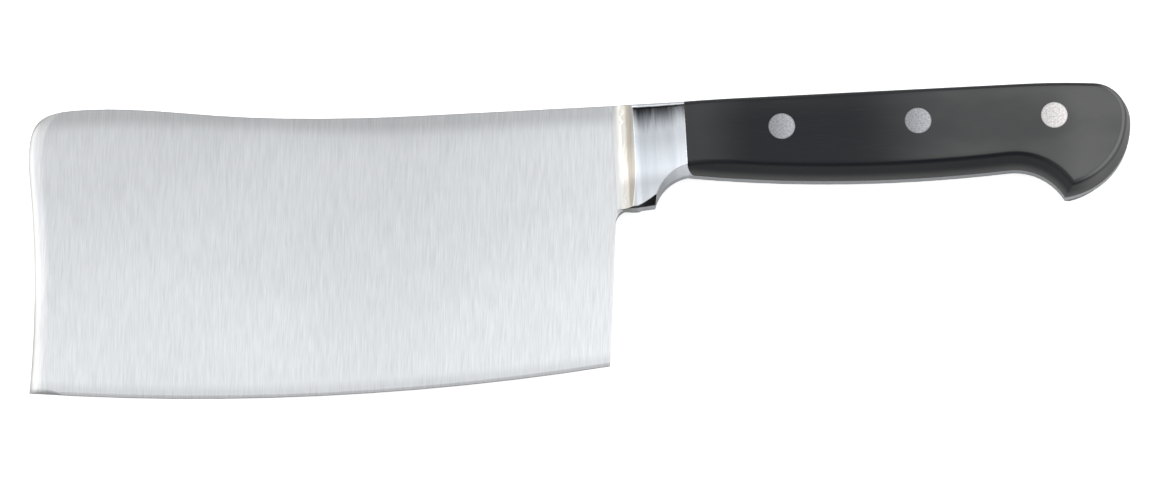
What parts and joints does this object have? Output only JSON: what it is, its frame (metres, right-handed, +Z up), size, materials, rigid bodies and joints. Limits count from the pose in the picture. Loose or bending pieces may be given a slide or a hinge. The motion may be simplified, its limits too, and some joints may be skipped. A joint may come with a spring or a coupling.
{
  "type": "kitchen cleaver",
  "caption": "Full-tang kitchen cleaver with a tall rectangular blade, a forged bolster and riveted grip scales that end in a hooked butt.",
  "frame": {"origin": "on the surface that the knife lies on, under the middle of its outline", "axes": "+X from the nose of the blade to the butt of the handle, +Y from the cutting edge to the spine, +Z up through the knife's thickness"},
  "size_m": [0.2994, 0.0828, 0.017],
  "materials": {
    "blade_steel": "satin, brushed across the blade",
    "grip": "satin black",
    "rivet_steel": "fine matte"
  },
  "bodies": {
    "root": {"blade_forging": "blade_steel", "upper_scale": "grip", "lower_scale": "grip", "front_rivet_tube": "rivet_steel", "front_rivet_pin": "rivet_steel", "middle_rivet_tube": "rivet_steel", "middle_rivet_pin": "rivet_steel", "rear_rivet_tube": "rivet_steel", "rear_rivet_pin": "rivet_steel"}
  },
  "joints": []
}
